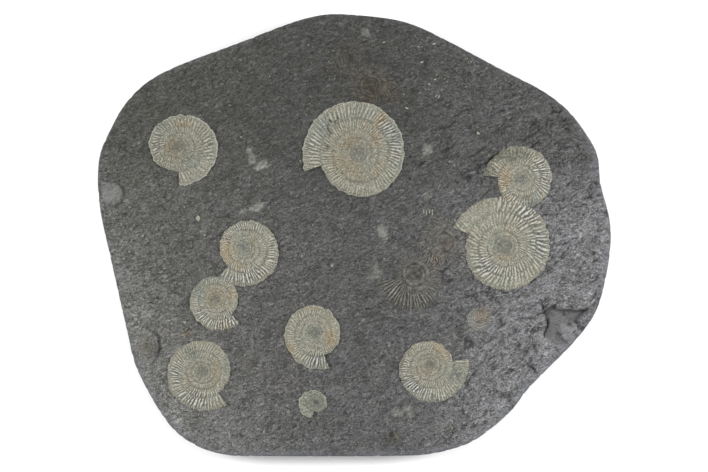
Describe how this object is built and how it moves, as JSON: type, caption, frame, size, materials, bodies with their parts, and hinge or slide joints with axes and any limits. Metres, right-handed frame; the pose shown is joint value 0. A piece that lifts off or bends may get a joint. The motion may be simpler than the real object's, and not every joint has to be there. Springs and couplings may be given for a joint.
{
  "type": "ammonite fossil slab",
  "caption": "Flat rounded slab of dark split shale with pale ribbed coiled shells lying in its upper face and darker coils in low relief.",
  "frame": {"origin": "middle of the slab's underside, in the plane that it rests on", "axes": "+Z out of the split face that holds the fossils, +X along the slab's longest side, to the right in the picture, +Y towards the slab's narrow top in the picture"},
  "size_m": [0.3697, 0.3187, 0.016],
  "materials": {
    "shale": "dull split stone, fine grained, lighter where it is rough",
    "fossil_shell": "dull greenish grey shell, paler on the rib crests"
  },
  "bodies": {
    "root": {"shale_slab": "shale", "ammonite_upper_left": "fossil_shell", "ammonite_large_top": "fossil_shell", "ammonite_upper_right": "fossil_shell", "ammonite_large_right": "fossil_shell", "ammonite_left_pair_upper": "fossil_shell", "ammonite_left_pair_lower": "fossil_shell", "ammonite_lower_left": "fossil_shell", "ammonite_lower_middle": "fossil_shell", "ammonite_lower_right": "fossil_shell", "ammonite_small_bottom": "fossil_shell"}
  },
  "joints": []
}
